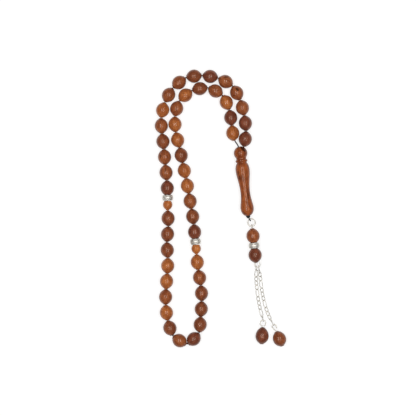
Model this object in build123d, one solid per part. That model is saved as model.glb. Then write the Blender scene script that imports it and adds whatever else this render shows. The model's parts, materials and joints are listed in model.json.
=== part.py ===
from build123d import *
from math import atan2, cos, degrees, hypot, pi, radians, sin, sqrt, tan
import os

# A misbaha lying flat: +X and +Y span the surface that it rests on, +Z is up, and everything is in millimetres.
# The head piece stands near the middle of the +X side, with its pole towards +Y and its pendant towards -Y.

# Turned beads
bead_radius = 4.0
bead_length = 9.2
nub_length = 0.5
nub_radius = 1.2
nub_edge = 0.15
neck_radius = 1.58
bore_radius = 0.75

# Silver discs and marker beads
disc_radius = 3.2
disc_length = 3.4
disc_rim_radius = 2.75
groove_depth = 0.25
groove_width = 0.35
groove_place = 0.6
recess_depth = 0.7
recess_mouth_radius = 2.15
recess_floor_radius = 1.45
nub_in_recess = 0.55
marker_length = 5.7
marker_radius = 2.85
marker_widest = 2.3
marker_face_radius = 1.95
marker_tip_radius = 0.95
marker_tip_edge = 0.1

# String
string_diameter = 0.75
string_height = bead_radius
piece_play = 0.12
nub_contact_radius = nub_radius - nub_edge
string_play = 0.2
loose_thread = 0.2
loosest_gaps = range(4, 9)
bend_share = 0.45

# Headings of the pieces on the string, in degrees from +X, one for each piece in its order on the string
first_headings = [82, 97, 105, 117, 152, 171, 187, 219, 241, 256, 274, 278, 274, 277, 272]
first_divider_headings = [272, 269]
middle_headings = [274, 262, 276, 267, 265, 268, 278, 287, 328, 405, 447, 445, 453, 461, 456]
last_divider_headings = [453, 458]
last_headings = [455, 459, 460, 460, 463, 460, 466, 453, 435, 399, 370, 333, 294, 278, 277]
group_size = 15

# Head piece (imame), measured from its pole along its axis
head_pole = Vector(11.61, 37.27)
head_heading = -83.2
head_height = 4.25
head_length = 41.8
ball_radius = 4.1
ball_end = 6.55
ball_crown_angle = 60
neck_points = ((7.35, 3.0), (8.05, 3.15))
collar_points = ((8.8, 3.62), (9.55, 3.15))
head_groove_points = ((9.85, 3.02), (10.15, 3.15))
vase_points = ((11.7, 3.88), (14.0, 4.23), (20.5, 3.52), (28.5, 2.9), (33.5, 3.45), (37.3, 3.98), (40.3, 3.2))
head_end_radius = 1.6
channel_radius = 1.2
channel_depth = 37.0
channel_overrun = 2.0
entry_radius = 0.7
drill_overrun = 1.5
strand_offset = 0.45
entry_offset = 0.6
first_entry_depth = 5.2
last_entry_depth = 6.0
last_corner_lead = 0.4
string_end_lead = 0.1
first_corner = Vector(14.2, 36.8)
bare_thread_lead = 0.35

# Knot below the head piece and the loop that holds the jump ring
knot_distance = 0.8
knot_half_length = 0.75
knot_half_width = 1.35
thread_loop_radius = 0.95

# Jump ring
ring_centre = Vector(18.66, -8.38)
ring_radius = 2.2
ring_wire = 0.8

# Pendant pin
pin_wire = 0.7
pendant_heading = -83.7
eye_radius = 0.9
pin_bore_radius = 0.5
pendant_lead = 1.35
stem_overrun = 0.15
carrier_drop = 1.4
carrier_shift = 0.7
carrier_half_width = 1.5
carrier_bend = 1.45
carrier_shoulder = 0.55
carrier_opening = 1.7
stem_bends = [0.5, 1.0]

# Chains
link_wire = 0.45
link_width = 2.1
link_lengths = {"long": 5.45, "short": 3.48, "end": 4.2}
link_play = 0.06
link_roll = 90
hook_play = 0.15
chain_spread = 28
left_pattern = ["short", "long", "short", "short", "short", "long", "short", "short", "short", "long", "end"]
left_headings = [-92, -91, -87, -85, -84, -83, -81, -79, -77, -76, -75]
left_slopes = [-25, -25, 0, 0, 0, 0, 0, 0, 8, 18, 29]
right_pattern = ["long", "short", "short", "long", "short", "short", "short", "long", "short", "short", "short", "long"]
right_headings = [-81, -82, -84, -83, -81, -79, -77, -75, -71, -68, -66, -60]
right_slopes = [-25, -25, 0, 0, 0, 0, 0, 0, 0, 10, 20, 25]

# Drop pins and drop beads
drop_nub_gap = 0.35
pin_head_radius = 0.68
pin_head_length = 0.3
pin_head_recess = 0.4
pin_head_seat = 0.05
pin_head_bore = 0.8
drop_neck_bend = 0.6
drop_shoulder_bend = 0.9
drop_crown_clearance = 0.1
left_drop = {"heading": -93.8, "half_width": 1.6, "height": 3.9, "shoulder": 0.3, "closing": 0.45}
left_drop_bead = {"upper": 5.4, "lower": 4.7}
right_drop = {"heading": -67.0, "half_width": 1.2, "height": 4.1, "shoulder": 0.55, "closing": 0.62}
right_drop_bead = {"upper": 5.0, "lower": 4.5}


def along(heading, slope=0.0):
    """Unit vector of a heading in the resting plane, and of a slope above that plane."""
    flat = cos(radians(slope))
    return Vector(flat * cos(radians(heading)), flat * sin(radians(heading)), sin(radians(slope)))


def aside(heading):
    """Unit vector to the left of a heading."""
    return Vector(-sin(radians(heading)), cos(radians(heading)))


def lathe(*edges):
    """Solid turned about its own X axis from the outline of its upper half."""
    return revolve(make_face(list(edges)), Axis.X)


def laid(solid, centre, heading, height, slope=0.0):
    """The solid with its X axis turned to a heading and a slope, and its origin at a point."""
    turn = Rotation(0, 0, heading) * Rotation(0, -slope, 0)
    return Pos(centre.X, centre.Y, height) * turn * solid


# --------------------------------------------------------------------------- turned pieces


def turned_bead(back=bead_length / 2, front=bead_length / 2, bore=bore_radius):
    """A bead with a nub at each end; its widest place is at the origin."""
    back_neck = nub_length - back
    front_neck = front - nub_length
    belly_back = TangentArc((0, bead_radius), (back_neck, neck_radius), tangent=(-1, 0))
    belly_front = TangentArc((0, bead_radius), (front_neck, neck_radius), tangent=(1, 0))
    ends = Polyline(
        (back_neck, neck_radius),
        (nub_edge - back, nub_radius),
        (-back, nub_radius - nub_edge),
        (-back, bore),
        (front, bore),
        (front, nub_radius - nub_edge),
        (front - nub_edge, nub_radius),
        (front_neck, neck_radius),
    )
    return lathe(belly_back, belly_front, ends)


def turned_disc():
    """A barrel-shaped silver disc: three bands, two grooves, and a countersunk recess in each face."""
    half = disc_length / 2
    body = lathe(
        ThreePointArc((-half, disc_rim_radius), (0, disc_radius), (half, disc_rim_radius)),
        Polyline(
            (-half, disc_rim_radius),
            (-half, recess_mouth_radius),
            (recess_depth - half, recess_floor_radius),
            (recess_depth - half, bore_radius),
            (half - recess_depth, bore_radius),
            (half - recess_depth, recess_floor_radius),
            (half, recess_mouth_radius),
            (half, disc_rim_radius),
        ),
    )
    for side in (-1, 1):
        ring = Cylinder(2 * disc_radius, groove_width) - Cylinder(disc_radius - groove_depth, groove_width)
        body -= Pos(side * groove_place, 0, 0) * Rotation(0, 90, 0) * ring
    return body


def turned_marker():
    """A small acorn-shaped bead: flat wide face at -X, small tip at +X, centred on its length."""
    half = marker_length / 2
    widest = marker_widest - half
    tip = half - nub_length
    wide_side = TangentArc((widest, marker_radius), (-half, marker_face_radius), tangent=(-1, 0))
    tip_side = TangentArc((widest, marker_radius), (tip, marker_tip_radius + nub_edge), tangent=(1, 0))
    ends = Polyline(
        (-half, marker_face_radius),
        (-half, bore_radius),
        (half, bore_radius),
        (half, marker_tip_radius - marker_tip_edge),
        (half - nub_edge, marker_tip_radius),
        (tip, marker_tip_radius + nub_edge),
    )
    return lathe(wide_side, tip_side, ends)


# --------------------------------------------------------------------------- the string's route


def strand_pieces():
    """Kind and heading of every piece on the string, from one side of the head piece round to the other."""
    beads = ["bead"] * group_size
    kinds = beads + ["disc", "marker"] + beads + ["marker", "disc"] + beads
    headings = first_headings + first_divider_headings + middle_headings + last_divider_headings + last_headings
    return list(zip(kinds, headings))


def gap_between(index, pieces):
    """Thread between two pieces: nubs meet on the inside of a turn, and a nub sits in a disc's recess."""
    kind, heading = pieces[index]
    next_kind, next_heading = pieces[index + 1]
    if {kind, next_kind} == {"bead", "disc"}:
        return -nub_in_recess
    turn = abs(next_heading - heading)
    contact = 2 * nub_contact_radius * tan(radians(turn / 2))
    return piece_play + contact + (loose_thread if index in loosest_gaps else 0)


def walk_strand(pieces):
    """Centre of every piece, and each corner of the string's route with the free thread on both sides of it."""
    lengths = {"bead": bead_length, "disc": disc_length, "marker": marker_length}
    centres = []
    corners = []
    place = first_corner
    before = bare_thread_lead
    for index, (kind, heading) in enumerate(pieces):
        last = index == len(pieces) - 1
        after = bare_thread_lead if last else gap_between(index, pieces) / 2
        step = along(heading)
        centres.append(place + step * (before + lengths[kind] / 2))
        place = place + step * (before + lengths[kind] + after)
        if last or pieces[index + 1][1] != heading:
            corners.append((place, max(after, 0)))
        before = after
    return centres, corners


def bend_radius(before, corner, after, free_thread):
    """The largest arc at a corner that leaves the bores' axes by no more than the string's play at their mouths."""
    back = hypot(corner.X - before.X, corner.Y - before.Y)
    ahead = hypot(after.X - corner.X, after.Y - corner.Y)
    turn = (corner - before).get_angle(after - corner)
    slant = tan(radians(turn / 2))
    root = sqrt(2 * string_play)
    mouth = ((root + sqrt(2 * string_play + 4 * slant * free_thread)) / (2 * slant)) ** 2
    return min(mouth, bend_share * min(back, ahead) / slant)


def head_point(distance, offset):
    """A point of the head piece: a distance from its pole along its axis, and an offset to its +X side."""
    return head_pole + along(head_heading) * distance + aside(head_heading) * offset


def string_route():
    """Corners of the whole string, knot to knot, with the free thread beside each."""
    pieces = strand_pieces()
    centres, corners = walk_strand(pieces)
    route = [
        (head_point(head_length + string_end_lead, strand_offset), 0),
        (head_point(first_entry_depth, strand_offset), 0),
        (first_corner, bare_thread_lead),
    ]
    route += corners
    route.append((head_point(-last_corner_lead, -entry_offset), bare_thread_lead))
    route.append((head_point(last_entry_depth, -strand_offset), 0))
    route.append((head_point(head_length + string_end_lead, -strand_offset), 0))
    return centres, route


def raised(point, height=string_height):
    return Vector(point.X, point.Y, height)


def string_with_knot(route):
    """The string's tube, with the knot that joins its two ends and the small loop that holds the jump ring."""
    points = [raised(corner) for corner, _ in route]
    radii = [bend_radius(points[k - 1], points[k], points[k + 1], route[k][1]) for k in range(1, len(points) - 1)]
    print("arc radii:", " ".join(f"{radius:.1f}" for radius in radii))
    path = FilletPolyline(*points, radius=radii)
    start = Plane(origin=path @ 0, z_dir=path % 0)
    tube = sweep(start * Circle(string_diameter / 2), path=path)
    section = pi * string_diameter**2 / 4
    filled = tube.volume / path.length / section
    print(f"string length {path.length:.1f}, volume over section times length {filled:.4f}")
    centre = head_point(head_length + knot_distance, 0)
    half = ThreePointArc((-knot_half_length, 0), (0, knot_half_width), (knot_half_length, 0))
    knot = lathe(half, Line((-knot_half_length, 0), (knot_half_length, 0)))
    knot = laid(knot, centre, head_heading, string_height)
    loop = Rotation(90, 0, 0) * Torus(thread_loop_radius, string_diameter / 2)
    loop = laid(loop, hang_point, knot_heading, string_height)
    return tube + knot + loop


# --------------------------------------------------------------------------- the head piece


def head_piece():
    """Ball, thin collar and long vase-shaped body, with the string's channel and its two entries."""
    crown = radians(ball_crown_angle)
    ball = ThreePointArc(
        (0, 0),
        (ball_radius - ball_radius * cos(crown), ball_radius * sin(crown)),
        (ball_end, sqrt(ball_radius**2 - (ball_end - ball_radius) ** 2)),
    )
    neck = ThreePointArc(ball @ 1, *neck_points)
    collar = ThreePointArc(neck @ 1, *collar_points)
    groove = ThreePointArc(collar @ 1, *head_groove_points)
    vase = Spline(groove @ 1, *vase_points, (head_length, head_end_radius))
    back = Polyline(vase @ 1, (head_length, 0), (0, 0))
    body = laid(lathe(ball, neck, collar, groove, vase, back), head_pole, head_heading, head_height)
    drilled = channel_depth + channel_overrun
    channel = Rotation(0, 90, 0) * Cylinder(channel_radius, drilled)
    middle = head_point(head_length + channel_overrun - drilled / 2, 0)
    body -= laid(channel, middle, head_heading, head_height)
    inner = head_point(first_entry_depth, strand_offset)
    body -= bored(inner, first_corner + (first_corner - inner).normalized() * drill_overrun)
    body -= bored(head_point(last_entry_depth, -strand_offset), head_point(-drill_overrun, -entry_offset))
    return body


def bored(inner, outer):
    """The drill that opens a string hole between two points at the string's height."""
    way = outer - inner
    heading = degrees(atan2(way.Y, way.X))
    drill = Rotation(0, 90, 0) * Cylinder(entry_radius, hypot(way.X, way.Y))
    return laid(drill, (inner + outer) / 2, heading, string_height)


# --------------------------------------------------------------------------- wire work


def bent_wire(points, radii, diameter):
    """A round wire along straight runs joined by tangent arcs."""
    path = FilletPolyline(*points, radius=radii)
    start = Plane(origin=path @ 0, z_dir=path % 0)
    return sweep(start * Circle(diameter / 2), path=path)


def jump_ring():
    return Pos(ring_centre.X, ring_centre.Y, string_height) * Torus(ring_radius, ring_wire / 2)


def pendant_point(distance, offset=0.0):
    """A point of the pendant: a distance from the eye's centre along the pin, and an offset to its +X side."""
    return eye_centre + along(pendant_heading) * distance + aside(pendant_heading) * offset


def eye_pin():
    """Upright eye, stem, and the flat lower loop that carries both chains."""
    eye = laid(Rotation(90, 0, 0) * Torus(eye_radius, pin_wire / 2), eye_centre, pendant_heading, string_height)
    near_side = carrier_shift - carrier_half_width
    far_side = carrier_shift + carrier_half_width
    points = [
        pendant_point(eye_radius),
        pendant_point(pendant_end + stem_overrun),
        pendant_point(carrier_distance - carrier_shoulder, near_side),
        pendant_point(carrier_distance + carrier_half_width, near_side),
        pendant_point(carrier_distance + carrier_half_width, far_side),
        pendant_point(carrier_distance - carrier_opening, far_side),
    ]
    stem = bent_wire([raised(point) for point in points], [*stem_bends, carrier_bend, carrier_bend], pin_wire)
    return eye + stem


def link(kind):
    """One oval link, lying flat, long side along X."""
    half_width = (link_width - link_wire) / 2
    straight = link_lengths[kind] - link_width
    path = SlotCenterToCenter(straight, 2 * half_width).face().outer_wire()
    start = Plane(origin=path @ 0, z_dir=path % 0)
    return sweep(start * Circle(link_wire / 2), path=path)


def chain(start, pattern, headings, slopes):
    """Links hooked one through the next, each turned about its length; also where the chain ends."""
    steps = len(pattern) - 1
    roll_step = 180 * round(steps / 2) / steps
    hook = (pin_wire + link_wire) / 2 + hook_play
    reach = -hook
    place = start
    links = []
    for index, (kind, heading, slope) in enumerate(zip(pattern, headings, slopes)):
        inner = link_lengths[kind] - link_wire
        step = along(heading, slope)
        middle = place + step * (reach + inner / 2)
        oval = Rotation(link_roll + index * roll_step, 0, 0) * link(kind)
        links.append(laid(oval, middle, heading, middle.Z, slope))
        place = place + step * (reach + inner)
        reach = -link_wire - link_play
    end = place - step * hook
    return links, end


def drop_pin(top, drop, bead_span):
    """Tear-shaped loop hanging from a chain's last link, stem through the bead, flat head at its lower end."""
    down = along(drop["heading"])
    side = aside(drop["heading"]) * drop["half_width"]
    tip = top + down * drop["height"]
    nub = tip + down * drop_nub_gap
    shoulder = tip - down * (drop["shoulder"] * drop["height"])
    stem_end = nub + down * (bead_span - pin_head_recess + pin_head_seat)
    points = [
        stem_end,
        tip,
        shoulder - side,
        top - side,
        top + side,
        shoulder + side,
        tip + (shoulder + side - tip) * drop["closing"],
    ]
    crown_bend = drop["half_width"] - drop_crown_clearance
    bends = [drop_neck_bend, drop_shoulder_bend, crown_bend, crown_bend, drop_shoulder_bend]
    wire = bent_wire([raised(point) for point in points], bends, pin_wire)
    head = Rotation(0, 90, 0) * Cylinder(pin_head_radius, pin_head_length)
    head = laid(head, stem_end + down * (pin_head_length / 2), drop["heading"], string_height)
    return wire + head, nub


def drop_bead(centre, heading, upper, lower):
    """The longer bead of a drop, its lower nub bored out for the pin's head."""
    bead = turned_bead(upper, lower, pin_bore_radius)
    seat = Rotation(0, 90, 0) * Cylinder(pin_head_bore, 2 * pin_head_recess)
    bead -= Pos(lower, 0, 0) * seat
    return laid(bead, centre, heading, string_height)


# --------------------------------------------------------------------------- assembly

os.makedirs("parts", exist_ok=True)

knot_centre = head_point(head_length + knot_distance, 0)
to_knot = (knot_centre - ring_centre).normalized()
knot_heading = degrees(atan2(to_knot.Y, to_knot.X))
hang_point = ring_centre + to_knot * ring_radius
eye_centre = ring_centre + along(pendant_heading) * ring_radius
pendant_end = pendant_lead + 2 * bead_length + disc_length - 2 * nub_in_recess
carrier_distance = pendant_end + carrier_drop

nodes = {}
joint_places = {}

centres, route = string_route()
bead_count = 0
discs = []
markers = []
plain_bead = turned_bead()
plain_disc = turned_disc()
plain_marker = turned_marker()
marker_turns = iter([0, 180])
for (kind, heading), centre in zip(strand_pieces(), centres):
    if kind == "bead":
        bead_count += 1
        name = f"strand_bead_{bead_count:02d}"
        nodes[name] = laid(plain_bead, centre, heading, bead_radius)
        joint_places[name] = (centre, heading)
    elif kind == "disc":
        discs.append(laid(plain_disc, centre, heading, bead_radius))
    else:
        markers.append(laid(plain_marker, centre, heading + next(marker_turns), bead_radius))

nodes["strand_discs"] = Compound(children=discs)
nodes["marker_beads"] = Compound(children=markers)
nodes["imame"] = head_piece()
nodes["string"] = string_with_knot(route)
nodes["jump_ring"] = jump_ring()
nodes["eye_pin"] = eye_pin()

upper_distance = pendant_lead + bead_length / 2
disc_distance = pendant_lead + bead_length - nub_in_recess + disc_length / 2
lower_distance = pendant_end - bead_length / 2
pendant_bead = turned_bead(bore=pin_bore_radius)
for name, distance, solid in (
    ("pendant_bead_upper", upper_distance, pendant_bead),
    ("pendant_disc", disc_distance, plain_disc),
    ("pendant_bead_lower", lower_distance, pendant_bead),
):
    nodes[name] = laid(solid, pendant_point(distance), pendant_heading, bead_radius)
    joint_places[name] = (pendant_point(distance), pendant_heading)

for side, sign, pattern, headings, slopes, drop, span in (
    ("left", -1, left_pattern, left_headings, left_slopes, left_drop, left_drop_bead),
    ("right", 1, right_pattern, right_headings, right_slopes, right_drop, right_drop_bead),
):
    inset = carrier_half_width - carrier_bend
    forth = carrier_distance + inset + carrier_bend * cos(radians(chain_spread))
    sideways = carrier_shift + sign * (inset + carrier_bend * sin(radians(chain_spread)))
    start = raised(pendant_point(forth, sideways))
    links, end = chain(start, pattern, headings, slopes)
    nodes[f"chain_{side}"] = Compound(children=links)
    joint_places[f"chain_{side}"] = (start, headings[0])
    top = Vector(end.X, end.Y)
    nodes[f"drop_pin_{side}"], nub = drop_pin(top, drop, span["upper"] + span["lower"])
    joint_places[f"drop_pin_{side}"] = (top, drop["heading"])
    centre = nub + along(drop["heading"]) * span["upper"]
    nodes[f"drop_bead_{side}"] = drop_bead(centre, drop["heading"], span["upper"], span["lower"])
    joint_places[f"drop_bead_{side}"] = (centre, drop["heading"])
    print(f"{side} chain: {len(links)} links, ends at height {end.Z:.2f}")

joint_places["jump_ring"] = (hang_point, knot_heading)
joint_places["eye_pin"] = (eye_centre, pendant_heading)

for name, solid in nodes.items():
    export_step(solid, f"parts/{name}.step")
for name, (place, heading) in joint_places.items():
    print(f"{name} turns at {place.X:.3f} {place.Y:.3f}, heading {heading:.1f}")
box = Compound(children=list(nodes.values())).bounding_box()
print(f"size {box.size.X:.2f} {box.size.Y:.2f} {box.size.Z:.2f}, middle {box.center().X:.2f} {box.center().Y:.2f}")
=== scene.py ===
import json
from math import atan2, ceil, cos, pi, radians, sin

import bmesh
import bpy
from mathutils import Matrix, Vector


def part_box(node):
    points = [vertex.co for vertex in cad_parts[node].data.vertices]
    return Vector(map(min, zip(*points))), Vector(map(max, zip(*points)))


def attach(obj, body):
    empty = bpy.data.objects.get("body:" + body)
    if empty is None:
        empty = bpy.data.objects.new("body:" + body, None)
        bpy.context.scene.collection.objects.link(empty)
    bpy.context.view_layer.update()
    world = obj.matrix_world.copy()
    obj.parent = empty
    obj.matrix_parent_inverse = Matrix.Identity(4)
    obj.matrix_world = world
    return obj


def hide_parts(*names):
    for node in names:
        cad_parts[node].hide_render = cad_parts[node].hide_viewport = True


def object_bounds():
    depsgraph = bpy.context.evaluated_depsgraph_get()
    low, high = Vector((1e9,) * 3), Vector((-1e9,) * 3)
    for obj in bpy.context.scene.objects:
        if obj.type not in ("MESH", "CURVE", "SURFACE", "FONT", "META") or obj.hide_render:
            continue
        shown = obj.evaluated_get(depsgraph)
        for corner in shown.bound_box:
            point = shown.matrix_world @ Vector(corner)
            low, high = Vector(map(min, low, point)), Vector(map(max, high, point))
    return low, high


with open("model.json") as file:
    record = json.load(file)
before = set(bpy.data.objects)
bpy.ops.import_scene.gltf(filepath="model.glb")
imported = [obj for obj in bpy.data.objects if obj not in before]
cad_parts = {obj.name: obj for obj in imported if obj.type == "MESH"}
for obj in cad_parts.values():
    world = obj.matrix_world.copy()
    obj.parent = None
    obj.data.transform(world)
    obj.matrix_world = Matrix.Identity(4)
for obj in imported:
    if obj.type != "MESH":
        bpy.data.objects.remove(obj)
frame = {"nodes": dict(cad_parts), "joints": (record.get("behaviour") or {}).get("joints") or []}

# A misbaha lies flat on a pale floor, seen from straight above.
# Lengths are in metres, and MM turns millimetres into them.
MM = 0.001
cad_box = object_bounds()
nodes = frame["nodes"]
joints = {joint["name"]: joint for joint in frame["joints"]}
UP = Vector((0, 0, 1))

BEADS = 45
BEAD_RADIUS = 4.0 * MM
BEAD_LENGTH = 9.2 * MM
GROOVE_PLACE = 0.6 * MM

# ------------------------------------------------------------------ places that the frame gives


def place(joint):
    return Vector(joints[joint]["pos_m"])


def axis(joint):
    return Vector(joints[joint]["axis"]).normalized()


def heading_of(direction):
    return atan2(direction.y, direction.x)


def flat(heading):
    """Unit vector of a heading in degrees from +X, in the resting plane."""
    return Vector((cos(radians(heading)), sin(radians(heading)), 0))


def bead_joint(number):
    return f"strand_bead_{number:02d}_spin"


# ------------------------------------------------------------------ camera, floor and light

VIEW_WIDTH = 249.6 * MM
VIEW_CENTRE = Vector((-7.45 * MM, 0.32 * MM, 0))
CAMERA_HEIGHT = 1.0
SENSOR = 36.0

camera_data = bpy.data.cameras.new("camera")
camera_data.sensor_width = SENSOR
camera_data.lens = SENSOR * (CAMERA_HEIGHT - BEAD_RADIUS) / VIEW_WIDTH
camera = bpy.data.objects.new("camera", camera_data)
camera.location = VIEW_CENTRE + UP * CAMERA_HEIGHT
bpy.context.scene.collection.objects.link(camera)
bpy.context.scene.camera = camera
bpy.context.scene.view_settings.view_transform = "Standard"


def area_light(name, location, size, power):
    """A white rectangular soft light that faces the middle of the strand. Its length runs along Y."""
    data = bpy.data.lights.new(name, "AREA")
    data.shape = "RECTANGLE"
    data.size, data.size_y = size
    data.energy = power
    light = bpy.data.objects.new(name, data)
    light.location = location
    light.rotation_euler = (-atan2(location[1], location[2]), atan2(location[0], location[2]), 0)
    bpy.context.scene.collection.objects.link(light)
    return light


STRIP_HEIGHT = 0.95
STRIP_ASIDE = 0.27
STRIP_SIZE = (0.13, 0.9)
STRIP_POWER = 4.6
CEILING_HEIGHT = 1.7
CEILING_SIZE = (2.4, 2.4)
CEILING_POWER = 7.0
WORLD_COLOUR = (1, 0.985, 0.96, 1)
WORLD_STRENGTH = 0.06

for side in (-1, 1):
    area_light(f"strip_light_{side:+d}", (side * STRIP_ASIDE, 0, STRIP_HEIGHT), STRIP_SIZE, STRIP_POWER)
area_light("ceiling_light", (0, 0, CEILING_HEIGHT), CEILING_SIZE, CEILING_POWER)

world = bpy.data.worlds.new("studio")
world.use_nodes = True
background = world.node_tree.nodes["Background"]
background.inputs["Color"].default_value = WORLD_COLOUR
background.inputs["Strength"].default_value = WORLD_STRENGTH
bpy.context.scene.world = world

# ------------------------------------------------------------------ materials


class Shade:
    """A material with a Principled shader, and short calls that add nodes to it."""

    def __init__(self, name, **sockets):
        self.material = bpy.data.materials.new(name)
        self.material.use_nodes = True
        self.tree = self.material.node_tree
        self.shader = self.tree.nodes["Principled BSDF"]
        self.set(self.shader, sockets)

    def set(self, node, sockets):
        for name, value in sockets.items():
            socket = node.inputs[name]
            if isinstance(value, bpy.types.NodeSocket):
                self.tree.links.new(value, socket)
            else:
                socket.default_value = value

    def add(self, kind, output=0, settings=None, **sockets):
        node = self.tree.nodes.new("ShaderNode" + kind)
        for name, value in (settings or {}).items():
            setattr(node, name, value)
        self.set(node, {name.replace("_", " "): value for name, value in sockets.items()})
        return node.outputs[output]

    def mapped(self, source, location=(0, 0, 0), rotation=(0, 0, 0), scale=(1, 1, 1)):
        """Coordinates inside a space that has this place, turn and unit."""
        return self.add("Mapping", settings={"vector_type": "TEXTURE"}, Vector=source, Location=location,
                        Rotation=rotation, Scale=scale)

    def noise(self, source, scale, detail=3.0, distortion=0.0):
        return self.add("TexNoise", Vector=source, Scale=scale, Detail=detail, Distortion=distortion)

    def between(self, value, low, high):
        """0 below low, 1 above high, and smooth between them."""
        return self.add("MapRange", settings={"interpolation_type": "SMOOTHSTEP"}, Value=value,
                        **{"From_Min": low, "From_Max": high})

    def maths(self, operation, first, second=0.0):
        node = self.tree.nodes.new("ShaderNodeMath")
        node.operation = operation
        self.set(node, {0: first, 1: second})
        return node.outputs[0]

    def mix(self, factor, first, second):
        node = self.tree.nodes.new("ShaderNodeMix")
        node.data_type = "RGBA"
        self.set(node, {"Factor": factor})
        for socket, value in ((node.inputs[6], first), (node.inputs[7], second)):
            if isinstance(value, bpy.types.NodeSocket):
                self.tree.links.new(value, socket)
            else:
                socket.default_value = (*value, 1)
        return node.outputs[2]

    def bump(self, height, distance, strength=1.0):
        normal = self.add("Bump", Height=height, Distance=distance, Strength=strength)
        self.set(self.shader, {"Normal": normal})


def darker(colour, share):
    return tuple(channel * share for channel in colour)


NECK_SHADE_FADE = 1.3
MARK_DEPTH = 40.0
WOOD_SURFACE = {"Roughness": 0.32, "Specular IOR Level": 0.28, "Specular Tint": (1, 0.72, 0.5, 1),
                "Coat Weight": 0.22, "Coat Roughness": 0.08}


def wood(name, centre, heading, light, dark, seed, neck_shade_at=None, marks_and_shade=()):
    """Waxed, turned wood with its grain along the axis of the piece.

    The shade distance, after seed, is how far from the centre, in mm, painted shade starts to deepen the
    colour towards the nubs, where neighbouring beads meet. A mark is (x, y, turn in degrees, half length,
    half width, strength), in mm from the centre as seen from above, and a negative strength makes it light
    instead of dark. Most marks are the wood's own blemishes; the dark patch on the head piece's ball is
    partly painted shadow round the thread hole.
    """
    shade = Shade(name, **WOOD_SURFACE)
    world_place = shade.add("TexCoord", output=3)
    local = shade.mapped(world_place, centre, (0, 0, heading), (MM, MM, MM))
    moved = shade.mapped(local, (seed * 17.3, seed * 5.1, seed * 9.7))
    mottle = shade.noise(shade.mapped(moved, scale=(1.7, 1.0, 1.0)), 0.34, 4.0, 0.8)
    fibre = shade.noise(shade.mapped(moved, scale=(9.0, 1.0, 1.0)), 1.5, 4.0, 0.2)
    pore = shade.noise(shade.mapped(moved, scale=(7.0, 1.0, 1.0)), 4.2, 2.0)
    colour = shade.mix(shade.between(mottle, 0.36, 0.64), dark, light)
    fibres = shade.maths("MULTIPLY", shade.between(fibre, 0.48, 0.72), 0.7)
    colour = shade.mix(fibres, colour, darker(dark, 0.6))
    pores = shade.maths("MULTIPLY", shade.between(pore, 0.62, 0.69), 0.6)
    colour = shade.mix(pores, colour, darker(dark, 0.4))
    # Painted shade: the colour deepens towards the nubs, where neighbouring beads meet.
    if neck_shade_at is not None:
        along = shade.add("SeparateXYZ", Vector=local)
        neck_shade = shade.between(shade.maths("ABSOLUTE", along), neck_shade_at, neck_shade_at + NECK_SHADE_FADE)
        colour = shade.mix(shade.maths("MULTIPLY", neck_shade, 0.7), colour, darker(dark, 0.68))
    # Marks: the wood's own blemishes, and on the head piece's ball also painted shadow round the thread
    # hole.
    for x, y, turn, half_length, half_width, strength in marks_and_shade:
        spot = Vector(centre) + Vector((x, y, 0)) * MM
        size = (half_length * MM, half_width * MM, MARK_DEPTH * MM)
        inside = shade.mapped(world_place, spot, (0, 0, radians(turn)), size)
        far = shade.add("VectorMath", output=1, settings={"operation": "LENGTH"}, Vector=inside)
        ragged = shade.maths("ADD", far, shade.maths("MULTIPLY", shade.noise(moved, 1.6, 3.0), 0.9))
        mask = shade.maths("MULTIPLY", shade.between(ragged, 1.55, 1.0), abs(strength))
        colour = shade.mix(mask, colour, darker(dark, 0.22) if strength > 0 else light)
    shade.set(shade.shader, {"Base Color": colour})
    shade.bump(shade.maths("SUBTRACT", fibre, pores), 0.01 * MM, 0.2)
    return shade.material


GROOVE_DARK_TO = 0.2
GROOVE_DARK_FROM = 0.1


def silver(name, grooved_discs=()):
    """Satin silver with a thin warm patina, darker in both grooves of each disc: its centre and heading."""
    shade = Shade(name, **{"Metallic": 1.0, "Roughness": 0.6})
    world_place = shade.add("TexCoord", output=3)
    local = shade.mapped(world_place, scale=(MM, MM, MM))
    patina = shade.between(shade.noise(local, 0.8, 4.0, 0.5), 0.42, 0.75)
    patches = shade.maths("MULTIPLY", patina, 0.5)
    colour = shade.mix(patches, (0.76, 0.74, 0.69), (0.58, 0.52, 0.43))
    for centre, heading in grooved_discs:
        inside = shade.mapped(world_place, centre, (0, 0, heading), (MM, MM, MM))
        along = shade.maths("ABSOLUTE", shade.add("SeparateXYZ", Vector=inside))
        off = shade.maths("ABSOLUTE", shade.maths("SUBTRACT", along, GROOVE_PLACE / MM))
        inside_groove = shade.maths("MULTIPLY", shade.between(off, GROOVE_DARK_TO, GROOVE_DARK_FROM), 0.75)
        colour = shade.mix(inside_groove, colour, (0.2, 0.16, 0.11))
    shade.set(shade.shader, {"Base Color": colour})
    shade.bump(shade.noise(local, 3.0, 3.0), 0.01 * MM, 0.15)
    return shade.material


def thread_material():
    shade = Shade("waxed_thread", **{"Roughness": 0.55, "Specular IOR Level": 0.35})
    local = shade.mapped(shade.add("TexCoord", output=3), scale=(MM, MM, MM))
    fibre = shade.noise(local, 7.0, 3.0)
    shade.set(shade.shader, {"Base Color": shade.mix(fibre, (0.004, 0.003, 0.004), (0.018, 0.013, 0.013))})
    shade.bump(fibre, 0.04 * MM, 0.5)
    return shade.material


def painted(piece, material):
    piece.data.materials.clear()
    piece.data.materials.append(material)
    return piece


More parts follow.
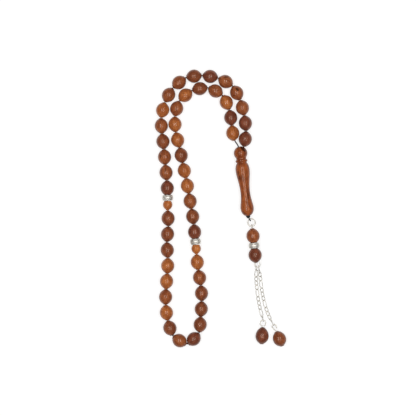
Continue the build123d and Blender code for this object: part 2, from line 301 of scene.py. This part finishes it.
# The wood runs from orange-brown to dark red-brown: each letter is one bead, in its order on the string.
TONES = {
    "l": ((0.47, 0.148, 0.04), (0.33, 0.09, 0.025)),
    "m": ((0.34, 0.1, 0.034), (0.23, 0.061, 0.022)),
    "k": ((0.275, 0.079, 0.031), (0.185, 0.05, 0.021)),
    "d": ((0.225, 0.062, 0.031), (0.148, 0.04, 0.021)),
}
BEAD_TONES = "ddmmmdkmmlmkmmd" "kkkllmlkmdkkkml" "dkmllkllmlkmldl"
SMUDGES = {
    4: [(0.3, 1.9, -50, 1.6, 0.9, 0.9), (-1.7, -1.6, -20, 0.7, 0.3, 0.8)],
    5: [(0.4, 2.6, 20, 1.9, 0.6, 0.6)],
    9: [(-2.0, 0.4, 0, 0.3, 0.3, 0.8), (1.7, -1.5, 45, 0.6, 0.35, 0.7)],
    11: [(-2.4, 0.0, 80, 1.3, 0.4, -0.7)],
    13: [(-2.4, 0.2, 80, 1.2, 0.6, 0.6)],
    14: [(-0.2, 1.7, 80, 1.6, 0.3, 0.8)],
    16: [(0.7, 2.1, 0, 0.4, 0.3, 0.7)],
    22: [(-1.4, -1.3, 0, 0.35, 0.3, 0.8)],
    27: [(2.2, 0.3, 0, 0.3, 0.3, 0.8)],
    39: [(0.0, -0.9, 0, 0.35, 0.35, 0.95)],
    40: [(-1.0, 0.8, 10, 0.7, 0.35, 0.5)],
}

# Painted shade deepens each bead's colour from this distance from its centre, in mm, towards the nubs.
NECK_SHADE_AT = 3.4
for number in range(1, BEADS + 1):
    name = f"strand_bead_{number:02d}"
    joint = bead_joint(number)
    light, dark = TONES[BEAD_TONES[number - 1]]
    marks = SMUDGES.get(number, ())
    finish = wood(f"{name}_wood", place(joint), heading_of(axis(joint)), light, dark, number, NECK_SHADE_AT, marks)
    painted(nodes[name], finish)

PENDANT_TONES = {
    "pendant_bead_upper": "m",
    "pendant_bead_lower": "d",
    "drop_bead_left": "d",
    "drop_bead_right": "k",
}
for number, (name, tone) in enumerate(PENDANT_TONES.items(), BEADS + 1):
    joint = f"{name}_spin"
    light, dark = TONES[tone]
    finish = wood(f"{name}_wood", place(joint), heading_of(axis(joint)), light, dark, number, NECK_SHADE_AT)
    painted(nodes[name], finish)

MARKER_TONE = ((0.55, 0.18, 0.045), (0.4, 0.115, 0.03))
MARKER_SEED = 61
marker_low, marker_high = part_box("marker_beads")
marker_middle = (marker_low + marker_high) / 2
painted(nodes["marker_beads"], wood("marker_wood", marker_middle, pi / 2, *MARKER_TONE, MARKER_SEED))

HEAD_POLE = Vector((11.61, 37.27, 4.25)) * MM
HEAD_HEADING = -83.2
HEAD_LENGTH = 41.8 * MM
HEAD_TONE = ((0.37, 0.095, 0.025), (0.2, 0.045, 0.014))
HEAD_SEED = 63
HEAD_MARKS_AND_SHADE = [
    # Partly the wood's own dark patch, partly painted shadow round the hole where the thread enters the
    # ball.
    (-0.6, 19.3, -50, 2.6, 1.2, 0.95),
    (-2.6, 1.8, -83, 2.0, 0.38, 0.8),
    (-3.3, 4.8, -83, 1.3, 0.34, 0.7),
    (2.4, -8.8, -83, 2.4, 0.4, 0.85),
    (0.9, 3.5, -85, 1.8, 0.3, 0.55),
    (1.6, -3.0, -84, 2.2, 0.28, 0.5),
]
head_middle = HEAD_POLE + flat(HEAD_HEADING) * HEAD_LENGTH / 2
head_turn = radians(HEAD_HEADING)
head_finish = wood("imame_wood", head_middle, head_turn, *HEAD_TONE, HEAD_SEED, marks_and_shade=HEAD_MARKS_AND_SHADE)
painted(nodes["imame"], head_finish)

plain_silver = silver("silver")
for name in ("jump_ring", "eye_pin", "drop_pin_left", "drop_pin_right"):
    painted(nodes[name], plain_silver)

# ------------------------------------------------------------------ meshes


def linked(name, mesh):
    """A smooth-shaded object from a bmesh."""
    for face in mesh.faces:
        face.smooth = True
    data = bpy.data.meshes.new(name)
    mesh.to_mesh(data)
    mesh.free()
    piece = bpy.data.objects.new(name, data)
    bpy.context.scene.collection.objects.link(piece)
    return piece


def tube(name, points, radius, closed=False, sides=12):
    """A mesh tube round a line of points."""
    count = len(points)
    mesh = bmesh.new()
    rings = []
    normal = None
    for index, point in enumerate(points):
        ahead = points[(index + 1) % count] if closed or index < count - 1 else point
        behind = points[index - 1] if closed or index else point
        tangent = (ahead - behind).normalized()
        if normal is None:
            normal = tangent.orthogonal().normalized()
        normal = (normal - tangent * normal.dot(tangent)).normalized()
        across = tangent.cross(normal)
        ring = []
        for step in range(sides):
            turn = 2 * pi * step / sides
            ring.append(mesh.verts.new(point + (normal * cos(turn) + across * sin(turn)) * radius))
        rings.append(ring)
    if closed:
        start = points[0]
        first = rings[0][0].co - start
        tangent = (points[1] - points[-1]).normalized()
        carried = (normal - tangent * normal.dot(tangent)).normalized()
        slip = atan2(tangent.dot(carried.cross(first)), carried.dot(first))
        shift = round(slip / (2 * pi) * sides)
    pairs = list(zip(rings, rings[1:] + (rings[:1] if closed else [])))
    for number, (near, far) in enumerate(pairs):
        offset = -shift if closed and number == count - 1 else 0
        for step in range(sides):
            following = (step + 1) % sides
            mesh.faces.new((near[step], near[following], far[(following + offset) % sides],
                            far[(step + offset) % sides]))
    if not closed:
        mesh.faces.new(reversed(rings[0]))
        mesh.faces.new(rings[-1])
    bmesh.ops.recalc_face_normals(mesh, faces=mesh.faces)
    return linked(name, mesh)


def joined(name, pieces):
    """One piece made of several."""
    mesh = bmesh.new()
    for piece in pieces:
        mesh.from_mesh(piece.data)
        bpy.data.objects.remove(piece)
    return linked(name, mesh)


# ------------------------------------------------------------------ silver discs

GRAINS = 44
GRAIN_RADIUS = 0.17 * MM
GRAIN_RING_RADIUS = 3.02 * MM
GRAIN_STAGGER = 0.25


def grains(name, discs):
    """Two rows of small silver grains in the grooves of each disc, given by its centre and heading."""
    mesh = bmesh.new()
    for centre, heading in discs:
        along = Vector((cos(heading), sin(heading), 0))
        across = UP.cross(along)
        for side in (-1, 1):
            for step in range(GRAINS):
                turn = 2 * pi * (step + side * GRAIN_STAGGER) / GRAINS
                out = across * cos(turn) + UP * sin(turn)
                spot = centre + along * side * GROOVE_PLACE + out * GRAIN_RING_RADIUS
                spread = Matrix.Translation(spot)
                bmesh.ops.create_icosphere(mesh, subdivisions=2, radius=GRAIN_RADIUS, matrix=spread)
    return painted(linked(name, mesh), plain_silver)


def middle_of(points):
    """The middle of the box round some points."""
    low = Vector(tuple(map(min, zip(*points))))
    high = Vector(tuple(map(max, zip(*points))))
    return (low + high) / 2


def disc_places():
    """Centre and heading of the two discs on the string, each between two groups of beads."""
    low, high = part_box("strand_discs")
    split = (low.y + high.y) / 2
    points = [vertex.co for vertex in nodes["strand_discs"].data.vertices]
    places = []
    for number, upper in ((15, True), (30, False)):
        own = [point for point in points if (point.y > split) == upper]
        direction = axis(bead_joint(number)) + axis(bead_joint(number + 1))
        places.append((middle_of(own), heading_of(direction)))
    return places


strand_places = disc_places()
pendant_places = [(place("pendant_disc_spin"), heading_of(axis("pendant_disc_spin")))]
disc_sets = (("strand_discs", "strand", strand_places), ("pendant_disc", "pendant_disc", pendant_places))
for node, body, discs in disc_sets:
    painted(nodes[node], silver(f"{node}_silver", discs))
    rows = grains(f"{node}_grains", discs)
    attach(rows, body)

# ------------------------------------------------------------------ chains

LINK_WIRE = 0.45
LINK_WIDTH = 2.1
LINK_LENGTHS = {"L": 5.45, "s": 3.48, "e": 4.2}
LINK_PLAY = 0.06
LINK_BEND_STEP = 12
LINK_SIDE_STEPS = 4
PIN_WIRE = 0.7
HOOK_PLAY = 0.15
HOOK = (PIN_WIRE + LINK_WIRE) / 2 + HOOK_PLAY
CHAINS = {
    "chain_left": ("sLsssLsssLe", (-92, -91, -87, -85, -84, -83, -81, -79, -77, -76, -75),
                   (-25, -25, 0, 0, 0, 0, 0, 0, 8, 18, 29)),
    "chain_right": ("LssLsssLsssL", (-81, -82, -84, -83, -81, -79, -77, -75, -71, -68, -66, -60),
                    (-25, -25, 0, 0, 0, 0, 0, 0, 0, 10, 20, 25)),
}


def twisted_link(name, start, step, span, roll_start, roll_end, late=None):
    """An oval link whose two ends are rolled about its length, so that neighbours pass through each other.

    With late 0 only its first half twists, with late 1 only its last half.
    """
    aside = UP.cross(step).normalized()
    above = step.cross(aside)
    bend = (LINK_WIDTH - LINK_WIRE) / 2
    straight = span / 2 - bend
    outline = []
    for turn in range(0, 180, LINK_BEND_STEP):
        outline.append((straight + bend * sin(radians(turn)), bend * cos(radians(turn))))
    for step_back in range(LINK_SIDE_STEPS):
        outline.append((straight * (1 - 2 * step_back / LINK_SIDE_STEPS), -bend))
    outline += [(-x, -y) for x, y in outline]
    points = []
    for x, y in outline:
        share = x / span + 0.5
        if late is not None:
            share = min(max(share * 2 - late, 0), 1)
        roll = radians(roll_start + (roll_end - roll_start) * share)
        sideways = aside * cos(roll) + above * sin(roll)
        points.append(start + (step * (x + span / 2) + sideways * y) * MM)
    return tube(name, points, LINK_WIRE / 2 * MM, closed=True, sides=10)


def chain(name):
    pattern, headings, slopes = CHAINS[name]
    spot = place(f"{name}_swing")
    reach = -HOOK
    links = []
    for number, (kind, heading, slope) in enumerate(zip(pattern, headings, slopes)):
        step = flat(heading) * cos(radians(slope)) + UP * sin(radians(slope))
        span = LINK_LENGTHS[kind] - LINK_WIRE
        roll_start = 90 if number == 0 else -45
        roll_end = -90 if number == len(pattern) - 1 else 45
        late = {0: 1, len(pattern) - 1: 0}.get(number)
        own = (f"{name}_link_{number}", spot + step * reach * MM, step, span, roll_start, roll_end, late)
        links.append(twisted_link(*own))
        spot = spot + step * (reach + span) * MM
        reach = -LINK_WIRE - LINK_PLAY
    whole = painted(joined(f"{name}_links", links), plain_silver)
    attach(whole, name)
    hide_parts(name)


for name in CHAINS:
    chain(name)

# ------------------------------------------------------------------ string

STRING_DIAMETER = 0.75 * MM
MOUTH_INSET = 0.65 * MM
STRAND_OFFSET = 0.45 * MM
ENTRY_OFFSET = 0.6 * MM
STRING_END = 41.9
CHANNEL_MIDDLE = 24.0
FIRST_ENTRY = 5.2
LAST_ENTRY = 6.0
LAST_CORNER_LEAD = 0.4
string_lift = UP * place(bead_joint(1)).z


def head_point(distance, offset):
    """A point of the string inside the head piece, from its pole, and aside to +X."""
    along = flat(HEAD_HEADING)
    point = HEAD_POLE + along * distance * MM + flat(HEAD_HEADING + 90) * offset
    return Vector((point.x, point.y, 0)) + string_lift


def string_points():
    """The string's route: in by the head piece, straight through every bore, and back to the knot."""
    points = [head_point(distance, STRAND_OFFSET) for distance in (STRING_END, CHANNEL_MIDDLE, FIRST_ENTRY)]
    reach = BEAD_LENGTH / 2 - MOUTH_INSET
    for number in range(1, BEADS + 1):
        centre = place(bead_joint(number))
        lead = axis(bead_joint(number)) * reach
        points += [centre - lead, centre + lead]
    points.append(head_point(-LAST_CORNER_LEAD, -ENTRY_OFFSET))
    for distance in (LAST_ENTRY, CHANNEL_MIDDLE, STRING_END):
        points.append(head_point(distance, -STRAND_OFFSET))
    return points


def nurbs(name, points, diameter):
    """A smooth, open NURBS curve with these control points, and a round section."""
    data = bpy.data.curves.new(name, "CURVE")
    data.dimensions = "3D"
    data.bevel_depth = diameter / 2
    data.bevel_resolution = 4
    data.use_fill_caps = True
    spline = data.splines.new("NURBS")
    spline.points.add(len(points) - 1)
    for control, point in zip(spline.points, points):
        control.co = (*point, 1)
    spline.order_u = 3
    spline.use_endpoint_u = True
    spline.resolution_u = 10
    curve = bpy.data.objects.new(name, data)
    bpy.context.scene.collection.objects.link(curve)
    return curve


thread_finish = thread_material()
string = painted(nurbs("thread", string_points(), STRING_DIAMETER), thread_finish)
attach(string, "strand")
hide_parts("string")

# ------------------------------------------------------------------ knot and hanging loop

hang_point = place("jump_ring_swing")
KNOT_PLACE = 42.6
KNOT_THREAD_RADIUS = 0.37
LOOP_THREAD_RADIUS = 0.36
LOOP_RADIUS = 0.95
LOOP_STEPS = 40
WINDING_STEPS = 24
knot_centre = head_point(KNOT_PLACE, 0)
knot_axis = flat(HEAD_HEADING)
knot_side = flat(HEAD_HEADING + 90)


def winding(radius, start, end, turns, tilt=0.0):
    """A helix round the knot's axis, between two distances from its centre, in mm."""
    points = []
    steps = ceil(turns * WINDING_STEPS)
    for step in range(steps + 1):
        share = step / steps
        turn = 2 * pi * turns * share
        out = knot_side * cos(turn) + UP * sin(turn)
        along = start + (end - start) * share + tilt * cos(turn)
        points.append(knot_centre + knot_axis * along * MM + out * radius * MM)
    return points


def hanging_loop(radius):
    """The ring of thread that the jump ring hangs in, standing upright."""
    outward = (hang_point - knot_centre).normalized()
    points = []
    for step in range(LOOP_STEPS):
        turn = 2 * pi * step / LOOP_STEPS
        points.append(hang_point + (outward * cos(turn) + UP * sin(turn)) * radius * MM)
    return points


outer_winding = winding(0.95, -0.75, 0.0, 2.1, 0.1)
inner_winding = winding(0.5, 0.45, -0.7, 3.1, -0.12)
knot = joined("knot", [
    tube("winding_outer", outer_winding, KNOT_THREAD_RADIUS * MM),
    tube("winding_inner", inner_winding, KNOT_THREAD_RADIUS * MM),
    tube("loop", hanging_loop(LOOP_RADIUS), LOOP_THREAD_RADIUS * MM, closed=True),
])
painted(knot, thread_finish)
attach(knot, "strand")

# ------------------------------------------------------------------ floor

FLOOR_HALF_SIZE = 3.0
FLOOR_DROP = 0.02 * MM
FLOOR_SURFACE = {"Base Color": (0.32, 0.32, 0.32, 1), "Roughness": 0.9, "Specular IOR Level": 0.1,
                 "Emission Color": (1, 1, 1, 1), "Emission Strength": 0.74}
floor_mesh = bmesh.new()
bmesh.ops.create_grid(floor_mesh, x_segments=1, y_segments=1, size=FLOOR_HALF_SIZE)
floor_data = bpy.data.meshes.new("floor")
floor_mesh.to_mesh(floor_data)
floor_mesh.free()
floor = bpy.data.objects.new("floor", floor_data)
floor.location = (0, 0, cad_box[0].z - FLOOR_DROP)
bpy.context.scene.collection.objects.link(floor)
painted(floor, Shade("floor", **FLOOR_SURFACE).material)
